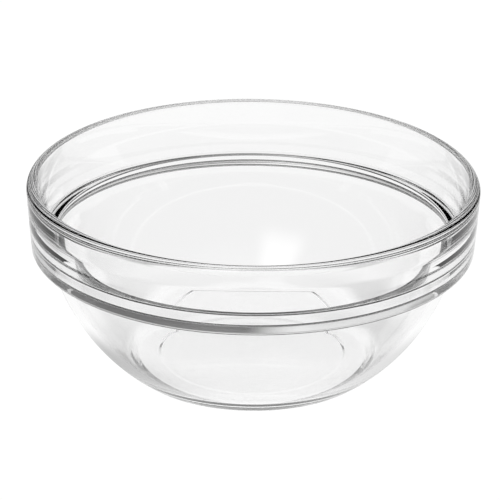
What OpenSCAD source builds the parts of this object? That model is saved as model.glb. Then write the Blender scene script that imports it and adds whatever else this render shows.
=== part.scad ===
// Stacking prep bowl of clear pressed glass.
// One piece of glass: a rim with a rounded outer edge, a slightly tapered collar, a stacking
// lip with a groove behind it, a ball-shaped lower body and a flat foot ring
// round a shallow recess.
// Origin: centre of the foot, on the plane that the bowl stands on. +Z is up.

/* [Rim and collar] */
// Outer diameter at the top of the collar
rim_d = 170; // [164:0.5:180]
// Height from the foot to the top of the rim
height = 75; // [72:0.5:84]
// Rounding of the rim's outer edge
rim_round = 3.2; // [2.6:0.1:3.8]
// Rounding of the rim's inner edge
rim_edge = 0.4; // [0.3:0.1:0.8]
// Outer diameter at the lower end of the collar
collar_low_d = 166.6; // [164:0.2:168]
// Outward bow of the collar's inside, halfway up
collar_bow = 0.4; // [0:0.1:0.6]

/* [Stacking lip] */
// Height of the lower edge of the lip
lip_z = 47.9; // [46.5:0.1:49]
// Width of the bottom of the lip
lip_w = 2.6; // [2.2:0.1:3]
// Rounding of the lip's outer edge
lip_round = 1.7; // [0.6:0.1:2]
// Depth of the groove behind the lip
groove_depth = 3.4; // [2.4:0.1:4]
// Width of the flat at the top of the groove
groove_land = 1.9; // [1.2:0.1:2.2]

/* [Ledge] */
// Height of the ledge inside the bowl, where it meets the collar
ledge_z = 55.1; // [54.4:0.1:57]
// Diameter inside the collar, at the ledge
ledge_outer_d = 155.2; // [153:0.2:158]
// Diameter of the opening inside the ledge
ledge_inner_d = 148.4; // [145:0.2:149]
// Height that the ledge falls from the collar to the opening
ledge_fall = 0.9; // [0:0.1:1.6]
// Rounding of the ledge's two corners
ledge_round = 0.9; // [0.5:0.1:1.4]

/* [Body] */
// Radius of the ball that shapes the outside of the body
body_r = 78.8; // [78.4:0.1:79.4]
// Height of that ball's centre above the foot
body_z = 64.4; // [63.6:0.1:65.2]
// Thickness of the body's wall
wall_t = 3; // [2.7:0.1:3.6]
// Thickness of the floor, from the foot plane to the inside
floor_t = 4.6; // [4:0.1:7]
// Rounding between the floor and the wall, inside
floor_round = 13; // [8:1:24]

/* [Foot] */
// Outer diameter of the foot ring
foot_d = 89.2; // [86:0.2:91]
// Diameter of the recess inside the foot ring
recess_d = 72; // [64:0.5:78]
// Depth of the recess
recess_h = 0.3; // [0.2:0.1:1.2]

/* [Hidden] */
$fn = 180;

top_r = rim_d / 2;
// Radius inside the collar, just below the rim
mouth_r = top_r - rim_round - rim_edge;
low_r = collar_low_d / 2;
// Point halfway up the inside of the collar
mid_r = (mouth_r + ledge_outer_d / 2) / 2 + collar_bow;
mid_z = (height - rim_edge + ledge_z) / 2;
groove_z = lip_z + groove_depth;
inner_r = body_r - wall_t;
// Height at which the ledge's inner face runs into the ball-shaped inside
join_z = body_z - sqrt(max(1, inner_r * inner_r - pow(ledge_inner_d / 2 - 0.3, 2)));
// Centre of the rounding between the floor and the wall
floor_x = sqrt(pow(inner_r - floor_round, 2) - pow(body_z - floor_t - floor_round, 2));

function ball_out(z) = sqrt(body_r * body_r - (z - body_z) * (z - body_z));
function ball_in(z) = sqrt(inner_r * inner_r - (z - body_z) * (z - body_z));
function unit(v) = v / norm(v);
function turn(a) = a > 180 ? a - 360 : a < -180 ? a + 360 : a;
function xy(p) = [p[0], p[1]];

// Points on an arc about c, from angle a to angle b
function arc(c, r, a, b, n) = [for (i = [0 : n]) c + r * [cos(a + (b - a) * i / n), sin(a + (b - a) * i / n)]];

// Half of the angle at corner i of a line of corners [r, z, rounding]
function half(k, i) = acos(max(-1, min(1, unit(xy(k[i - 1]) - xy(k[i])) * unit(xy(k[i + 1]) - xy(k[i]))))) / 2;
// Length that the rounding of corner i takes from each side
function reach(k, i) = i <= 0 || i >= len(k) - 1 ? 0 : half(k, i) > 89.5 ? 0 : k[i][2] / tan(half(k, i));
// Share of the roundings that fits on the side from corner i to the next one
function room(k, i) = min(1, 0.96 * norm(xy(k[i + 1]) - xy(k[i])) / max(0.001, reach(k, i) + reach(k, i + 1)));

// Points that round corner i, with a radius that always fits
function corner(k, i) =
    let (b = xy(k[i]), h = half(k, i), q = k[i][2] * min(room(k, i - 1), room(k, i)))
    q <= 0 || h > 89.5 ? [b] :
    let (u = unit(xy(k[i - 1]) - b), v = unit(xy(k[i + 1]) - b),
         m = b + unit(u + v) * q / sin(h),
         p0 = b + u * q / tan(h) - m,
         p1 = b + v * q / tan(h) - m,
         s = atan2(p0[1], p0[0]),
         d = turn(atan2(p1[1], p1[0]) - s),
         n = max(3, ceil(abs(d) / 12)))
    arc(m, q, s, s + d, n);

// A line of corners [r, z, rounding] with each corner rounded
function rounded(k) = [for (i = [0 : len(k) - 1]) each (i == 0 || i == len(k) - 1 ? [xy(k[i])] : corner(k, i))];

function outline() =
    let (z0 = 1.2,
         z1 = groove_z - 2.0,
         a0 = atan2(z0 - body_z, ball_out(z0)),
         a1 = atan2(z1 - body_z, ball_out(z1)),
         zi = join_z - 4,
         b0 = atan2(zi - body_z, ball_in(zi)),
         b1 = atan2(floor_t + floor_round - body_z, floor_x))
    concat(
        rounded([[0, recess_h, 0], [recess_d / 2 - 1, recess_h, 1], [recess_d / 2, 0, 0.5],
                 [foot_d / 2, 0, 1], [ball_out(z0), z0, 0]]),
        arc([0, body_z], body_r, a0 + 1, a1, 34),
        rounded([[ball_out(z1), z1, 0], [ball_out(groove_z), groove_z, 0.8],
                 [ball_out(groove_z) + groove_land, groove_z, 0.85],
                 [low_r - lip_w, lip_z, 0.5], [low_r - 0.1, lip_z, lip_round],
                 [low_r + 0.75, lip_z + 10.1, 30], [top_r, height - rim_round, 0]]),
        arc([top_r - rim_round, height - rim_round], rim_round, 9, 90, 9),
        arc([mouth_r + rim_edge, height - rim_edge], rim_edge, 112, 170, 4),
        rounded([[mouth_r, height - rim_edge, 0], [mid_r, mid_z, 25], [ledge_outer_d / 2, ledge_z, ledge_round],
                 [ledge_inner_d / 2, ledge_z - ledge_fall, ledge_round], [ball_in(join_z), join_z, 4.2], [ball_in(zi), zi, 0]]),
        arc([0, body_z], inner_r, b0 - 1, b1, 22),
        arc([floor_x, floor_t + floor_round], floor_round, b1 - 3, -90, 14),
        [[0, floor_t]]);

module bowl() {
    color("lightcyan", 0.4)
        rotate_extrude()
            polygon(outline());
}

bowl();
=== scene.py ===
import math

import bpy
from mathutils import Matrix, Vector


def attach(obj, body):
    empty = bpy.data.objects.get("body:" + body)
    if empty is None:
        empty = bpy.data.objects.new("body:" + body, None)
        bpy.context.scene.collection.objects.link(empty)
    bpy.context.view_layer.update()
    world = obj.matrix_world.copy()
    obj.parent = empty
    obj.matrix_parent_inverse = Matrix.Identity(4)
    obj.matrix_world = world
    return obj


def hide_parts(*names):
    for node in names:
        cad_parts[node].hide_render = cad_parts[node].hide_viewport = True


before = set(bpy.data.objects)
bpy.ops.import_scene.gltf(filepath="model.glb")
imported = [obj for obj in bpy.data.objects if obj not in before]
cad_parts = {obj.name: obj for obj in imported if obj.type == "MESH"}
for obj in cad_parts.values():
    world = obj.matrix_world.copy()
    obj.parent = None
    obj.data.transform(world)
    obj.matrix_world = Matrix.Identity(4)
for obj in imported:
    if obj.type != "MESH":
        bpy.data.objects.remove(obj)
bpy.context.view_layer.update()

scene = bpy.context.scene

# ---------------------------------------------------------------- the bowl's outline, in millimetres
RIM_D, HEIGHT, RIM_ROUND, RIM_EDGE, COLLAR_LOW_D, COLLAR_BOW = 170.0, 75.0, 3.2, 0.4, 166.6, 0.4
LIP_Z, LIP_W, LIP_ROUND, GROOVE_DEPTH, GROOVE_LAND = 47.9, 2.6, 1.7, 3.4, 1.9
LEDGE_Z, LEDGE_OUTER_D, LEDGE_INNER_D, LEDGE_FALL, LEDGE_ROUND = 55.1, 155.2, 148.4, 0.9, 0.9
BODY_R, BODY_Z, WALL_T, FLOOR_T, FLOOR_ROUND = 78.8, 64.4, 3.0, 4.6, 13.0
FOOT_D, RECESS_D, RECESS_H = 89.2, 72.0, 0.3
SEGMENTS = 320


def arc(cx, cz, r, a, b, n):
    return [(cx + r * math.cos(math.radians(a + (b - a) * i / n)), cz + r * math.sin(math.radians(a + (b - a) * i / n))) for i in range(n + 1)]


def rounded(corners, step):
    """A line of corners (r, z, rounding) with each corner rounded; step is the turn in degrees between points."""
    pts = [Vector(c[:2]) for c in corners]

    def half(i):
        u, v = (pts[i - 1] - pts[i]).normalized(), (pts[i + 1] - pts[i]).normalized()
        return math.acos(max(-1.0, min(1.0, u.dot(v)))) / 2

    def reach(i):
        if i <= 0 or i >= len(pts) - 1 or half(i) > math.radians(89.5):
            return 0.0
        return corners[i][2] / math.tan(half(i))

    def room(i):
        return min(1.0, 0.96 * (pts[i + 1] - pts[i]).length / max(0.001, reach(i) + reach(i + 1)))

    out = [tuple(pts[0])]
    for i in range(1, len(pts) - 1):
        b, h = pts[i], half(i)
        q = corners[i][2] * min(room(i - 1), room(i))
        if q <= 0 or h > math.radians(89.5):
            out.append(tuple(b))
            continue
        u, v = (pts[i - 1] - b).normalized(), (pts[i + 1] - b).normalized()
        m = b + (u + v).normalized() * q / math.sin(h)
        p0 = b + u * q / math.tan(h) - m
        p1 = b + v * q / math.tan(h) - m
        s = math.degrees(math.atan2(p0.y, p0.x))
        d = (math.degrees(math.atan2(p1.y, p1.x)) - s + 180) % 360 - 180
        out += arc(m.x, m.y, q, s, s + d, max(4, math.ceil(abs(d) / step)))
    return out + [tuple(pts[-1])]


def outline():
    top_r, low_r = RIM_D / 2, COLLAR_LOW_D / 2
    mouth_r = top_r - RIM_ROUND - RIM_EDGE
    groove_z, inner_r = LIP_Z + GROOVE_DEPTH, BODY_R - WALL_T
    join_z = BODY_Z - math.sqrt(inner_r ** 2 - (LEDGE_INNER_D / 2 - 0.3) ** 2)
    floor_x = math.sqrt((inner_r - FLOOR_ROUND) ** 2 - (BODY_Z - FLOOR_T - FLOOR_ROUND) ** 2)

    def ball_out(z):
        return math.sqrt(BODY_R ** 2 - (z - BODY_Z) ** 2)

    def ball_in(z):
        return math.sqrt(inner_r ** 2 - (z - BODY_Z) ** 2)

    z0, z1, zi = 1.2, groove_z - 2.0, join_z - 4
    a0, a1 = (math.degrees(math.atan2(z - BODY_Z, ball_out(z))) for z in (z0, z1))
    b0 = math.degrees(math.atan2(zi - BODY_Z, ball_in(zi)))
    b1 = math.degrees(math.atan2(FLOOR_T + FLOOR_ROUND - BODY_Z, floor_x))
    pts = rounded([(0, RECESS_H, 0), (RECESS_D / 2 - 1, RECESS_H, 1), (RECESS_D / 2, 0, 0.5), (FOOT_D / 2, 0, 1), (ball_out(z0), z0, 0)], 6)
    pts += arc(0, BODY_Z, BODY_R, a0, a1, 44)
    pts += rounded([(ball_out(z1), z1, 0), (ball_out(groove_z), groove_z, 0.8), (ball_out(groove_z) + GROOVE_LAND, groove_z, 0.85),
                    (low_r - LIP_W, LIP_Z, 0.5), (low_r - 0.1, LIP_Z, LIP_ROUND), (low_r + 0.75, LIP_Z + 10.1, 30), (top_r, HEIGHT - RIM_ROUND, 0)], 6)
    pts += arc(top_r - RIM_ROUND, HEIGHT - RIM_ROUND, RIM_ROUND, 0, 90, 40)
    pts += arc(mouth_r + RIM_EDGE, HEIGHT - RIM_EDGE, RIM_EDGE, 90, 180, 14)
    mid = ((mouth_r + LEDGE_OUTER_D / 2) / 2 + COLLAR_BOW, (HEIGHT - RIM_EDGE + LEDGE_Z) / 2, 25)
    pts += rounded([(mouth_r, HEIGHT - RIM_EDGE, 0), mid, (LEDGE_OUTER_D / 2, LEDGE_Z, LEDGE_ROUND), (LEDGE_INNER_D / 2, LEDGE_Z - LEDGE_FALL, LEDGE_ROUND),
                    (ball_in(join_z), join_z, 4.2), (ball_in(zi), zi, 0)], 5)
    pts += arc(0, BODY_Z, inner_r, b0, b1, 30)
    pts += arc(floor_x, FLOOR_T + FLOOR_ROUND, FLOOR_ROUND, b1, -90, 34) + [(0, FLOOR_T)]
    out = [pts[0]]
    for p in pts[1:]:
        if math.dist(p, out[-1]) > 0.01:
            out.append(p)
    return out


def revolve(name, pts):
    """A closed body of revolution, with normals taken from the outline so that light bends smoothly through it."""
    normals = []
    for i in range(len(pts)):
        n = Vector((0.0, 0.0))
        for a, b in ((i - 1, i), (i, i + 1)):
            if a >= 0 and b < len(pts):
                n += Vector((pts[b][1] - pts[a][1], pts[a][0] - pts[b][0]))
        normals.append(n.normalized())
    verts, vnormals, rows, faces = [], [], [], []
    for (r, z), n in zip(pts, normals):
        if r < 1e-6:
            rows.append([len(verts)] * SEGMENTS)
            verts.append((0.0, 0.0, z / 1000))
            vnormals.append((0.0, 0.0, 1.0 if n.y > 0 else -1.0))
            continue
        rows.append(range(len(verts), len(verts) + SEGMENTS))
        for k in range(SEGMENTS):
            c, s = math.cos(2 * math.pi * k / SEGMENTS), math.sin(2 * math.pi * k / SEGMENTS)
            verts.append((r * c / 1000, r * s / 1000, z / 1000))
            vnormals.append((n.x * c, n.x * s, n.y))
    for A, B in zip(rows, rows[1:]):
        for k in range(SEGMENTS):
            j = (k + 1) % SEGMENTS
            f = [A[k], A[j], B[j], B[k]]
            faces.append([v for i, v in enumerate(f) if v not in f[:i]])
    me = bpy.data.meshes.new(name)
    me.from_pydata(verts, [], faces)
    me.update()
    me.shade_smooth()
    me.normals_split_custom_set_from_vertices(vnormals)
    ob = bpy.data.objects.new(name, me)
    scene.collection.objects.link(ob)
    return ob


# ---------------------------------------------------------------- small helpers for node trees
def node(tree, kind, **values):
    n = tree.nodes.new("ShaderNode" + kind)
    for k, v in values.items():
        setattr(n, k, v)
    return n


def put(tree, value, socket):
    if isinstance(value, bpy.types.NodeSocket):
        tree.links.new(value, socket)
    else:
        socket.default_value = value


def calc(tree, op, a, b=0.0, c=0.0):
    n = node(tree, "Math", operation=op)
    for v, s in zip((a, b, c), n.inputs):
        put(tree, v, s)
    return n.outputs[0]


def ease(tree, value, lo, hi, at_lo, at_hi):
    n = node(tree, "MapRange", interpolation_type="SMOOTHSTEP")
    for v, s in zip((value, lo, hi, at_lo, at_hi), n.inputs):
        put(tree, v, s)
    return n.outputs[0]


# ---------------------------------------------------------------- clear pressed glass
def glass_material():
    m = bpy.data.materials.new("glass")
    m.use_nodes = True
    t = m.node_tree
    p = t.nodes["Principled BSDF"]
    p.inputs["Base Color"].default_value = (1.0, 1.0, 1.0, 1.0)
    p.inputs["IOR"].default_value = 1.52
    p.inputs["Transmission Weight"].default_value = 1.0
    where = node(t, "TexCoord").outputs["Object"]
    # the slow waviness of a pressed surface
    wave = node(t, "TexNoise")
    wave.inputs["Scale"].default_value = 45.0
    wave.inputs["Detail"].default_value = 1.0
    t.links.new(where, wave.inputs["Vector"])
    bump = node(t, "Bump")
    bump.inputs["Strength"].default_value = 1.0
    bump.inputs["Distance"].default_value = 0.00002
    t.links.new(wave.outputs["Fac"], bump.inputs["Height"])
    t.links.new(bump.outputs["Normal"], p.inputs["Normal"])
    # fire polish that is a little less even in some places
    polish = node(t, "TexNoise")
    polish.inputs["Scale"].default_value = 140.0
    polish.inputs["Detail"].default_value = 3.0
    t.links.new(where, polish.inputs["Vector"])
    t.links.new(ease(t, polish.outputs["Fac"], 0.45, 0.85, 0.0, 0.02), p.inputs["Roughness"])
    return m


bowl = revolve("glass_bowl", outline())
bowl.data.materials.append(glass_material())
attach(bowl, "root")
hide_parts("bowl")


# ---------------------------------------------------------------- a pale table top that glows evenly to the camera, with a painted pool of light and a painted contact shadow seen through the glass
def floor():
    s = 30.0
    me = bpy.data.meshes.new("floor")
    me.from_pydata([(-s, -s, 0), (s, -s, 0), (s, s, 0), (-s, s, 0)], [], [(0, 1, 2, 3)])
    ob = bpy.data.objects.new("floor", me)
    ob.location.z = -0.0002
    scene.collection.objects.link(ob)
    m = bpy.data.materials.new("floor")
    m.use_nodes = True
    t = m.node_tree
    t.nodes.clear()
    where = node(t, "TexCoord").outputs["Object"]
    far = node(t, "VectorMath", operation="LENGTH")
    t.links.new(where, far.inputs[0])
    xyz = node(t, "SeparateXYZ")
    t.links.new(where, xyz.inputs[0])
    # azimuth: 0 behind the bowl, 90 to its right, as the camera sees it
    az = calc(t, "DEGREES", calc(t, "ARCTAN2", xyz.outputs[0], xyz.outputs[1]))

    def sector(azimuth, half, edge):
        off = calc(t, "ABSOLUTE", calc(t, "WRAP", calc(t, "SUBTRACT", az, azimuth), 180.0, -180.0))
        return ease(t, off, half, half + edge, 1.0, 0.0)

    # painted light on the table: brightest under the bowl, painted shade a little dimmer on the left, and dim
    # beyond the lit part of the table
    # (the lit part reaches farther at the sides and in front than behind the bowl)
    past = calc(t, "SUBTRACT", far.outputs["Value"], ease(t, calc(t, "ABSOLUTE", az), 50.0, 80.0, 0.0, 0.32))
    light = calc(t, "MULTIPLY", ease(t, far.outputs["Value"], 0.06, 0.09, 1.06, 0.97), ease(t, past, 0.278, 0.294, 1.0, 0.124))
    light = calc(t, "MULTIPLY", light, ease(t, xyz.outputs[0], -0.16, -0.09, 0.72, 1.0))
    # a painted patch of light on the table, behind the bowl and to the right
    painted_light_patch = calc(t, "MULTIPLY", ease(t, az, -1.8, 3.8, 0.0, 1.0), ease(t, az, 25.0, 42.0, 1.0, 0.0))
    painted_light_patch = calc(t, "MULTIPLY", painted_light_patch, ease(t, far.outputs["Value"], 0.6, 1.2, 0.85, 0.4))
    light = calc(t, "MAXIMUM", light, painted_light_patch)
    # the foot of the backdrop, far behind
    light = calc(t, "MAXIMUM", light, calc(t, "MULTIPLY", sector(-5.0, 35.0, 15.0), ease(t, far.outputs["Value"], 1.1, 1.5, 0.0, 0.75)))
    # the soft contact shadow round the foot, deepest on the left
    depth = calc(t, "ADD", 0.14, calc(t, "MULTIPLY", sector(245.0, 18.0, 40.0), 0.34))
    depth = calc(t, "ADD", depth, calc(t, "MULTIPLY", sector(95.0, 30.0, 40.0), 0.14))
    near = calc(t, "MULTIPLY", ease(t, far.outputs["Value"], 0.045, 0.054, 0.0, 1.0), ease(t, far.outputs["Value"], 0.060, 0.080, 1.0, 0.0))
    light = calc(t, "MULTIPLY", light, calc(t, "SUBTRACT", 1.0, calc(t, "MULTIPLY", depth, near)))
    # the camera sees the table evenly white; the painted light and painted shadow reach only rays through the glass
    seen = node(t, "LightPath").outputs["Is Camera Ray"]
    emit = node(t, "Emission")
    t.links.new(calc(t, "MAXIMUM", light, calc(t, "MULTIPLY", seen, 1.03)), emit.inputs["Strength"])
    below = node(t, "NewGeometry").outputs["Backfacing"]
    mix = node(t, "MixShader")
    t.links.new(below, mix.inputs[0])
    t.links.new(emit.outputs[0], mix.inputs[1])
    t.links.new(node(t, "BsdfTransparent").outputs[0], mix.inputs[2])
    t.links.new(mix.outputs[0], node(t, "OutputMaterial").inputs["Surface"])
    me.materials.append(m)


floor()


# ---------------------------------------------------------------- a dim room with soft boxes
def room_light():
    w = bpy.data.worlds.new("room")
    scene.world = w
    w.use_nodes = True
    t = w.node_tree
    t.nodes.clear()
    d = node(t, "VectorMath", operation="NORMALIZE")
    t.links.new(node(t, "TexCoord").outputs["Generated"], d.inputs[0])
    xyz = node(t, "SeparateXYZ")
    t.links.new(d.outputs[0], xyz.inputs[0])
    el = calc(t, "DEGREES", calc(t, "ARCSINE", xyz.outputs[2]))
    # azimuth: 0 behind the bowl, 90 to its right, as the camera sees it
    az = calc(t, "DEGREES", calc(t, "ARCTAN2", xyz.outputs[0], xyz.outputs[1]))

    def box(azimuth, half_az, elevation, half_el, edge, strength):
        off = calc(t, "ABSOLUTE", calc(t, "WRAP", calc(t, "SUBTRACT", az, azimuth), 180.0, -180.0))
        across = ease(t, off, half_az, half_az + edge, 1.0, 0.0)
        up = ease(t, calc(t, "ABSOLUTE", calc(t, "SUBTRACT", el, elevation)), half_el, half_el + edge, 1.0, 0.0)
        return calc(t, "MULTIPLY", calc(t, "MULTIPLY", across, up), strength)

    # dim near the horizon, brighter overhead, darker again on the left
    total = ease(t, el, 35.0, 68.0, 0.02, 0.5)
    side = calc(t, "ABSOLUTE", calc(t, "WRAP", calc(t, "SUBTRACT", az, 300.0), 180.0, -180.0))
    left = calc(t, "MULTIPLY", ease(t, side, 40.0, 75.0, 0.85, 0.0), ease(t, el, 58.0, 70.0, 1.0, 0.0))
    total = calc(t, "MULTIPLY", total, calc(t, "SUBTRACT", 1.0, left))
    for b in BOXES:
        total = calc(t, "ADD", total, box(*b))
    seen = node(t, "LightPath").outputs["Is Camera Ray"]
    back = node(t, "Background")
    t.links.new(calc(t, "MAXIMUM", total, seen), back.inputs["Strength"])
    t.links.new(back.outputs[0], node(t, "OutputWorld").inputs["Surface"])


# azimuth, half width, elevation, half height, soft edge (degrees), strength
BOXES = [
    (15.0, 13.0, 5.0, 5.0, 5.0, 0.55),
    (-18.0, 20.0, 2.0, 8.0, 6.0, 0.75),
    (203.0, 8.0, 50.0, 4.0, 15.0, 1.6),
]
room_light()


# ---------------------------------------------------------------- camera, at the photograph's angle
def camera():
    e, d, f, roll, ax, az = 0.4074, 1.5, 3978.273, 0.0097, -0.0010805, 0.0458025
    back = Vector((0, -math.cos(e), math.sin(e)))
    pos = Vector((ax, 0, az)) + d * back
    right = Vector((1, 0, 0))
    up = right.cross(-back)
    r2 = math.cos(roll) * right + math.sin(roll) * up
    u2 = -math.sin(roll) * right + math.cos(roll) * up
    data = bpy.data.cameras.new("camera")
    data.sensor_width = 36.0
    data.lens = f / 500 * 36.0
    data.clip_end = 100.0
    ob = bpy.data.objects.new("camera", data)
    ob.matrix_world = Matrix(((r2.x, u2.x, back.x, pos.x), (r2.y, u2.y, back.y, pos.y), (r2.z, u2.z, back.z, pos.z), (0, 0, 0, 1)))
    scene.collection.objects.link(ob)
    scene.camera = ob


camera()
scene.view_settings.view_transform = "Standard"
scene.cycles.max_bounces = 24
scene.cycles.transmission_bounces = 24
scene.cycles.glossy_bounces = 12
scene.cycles.transparent_max_bounces = 12
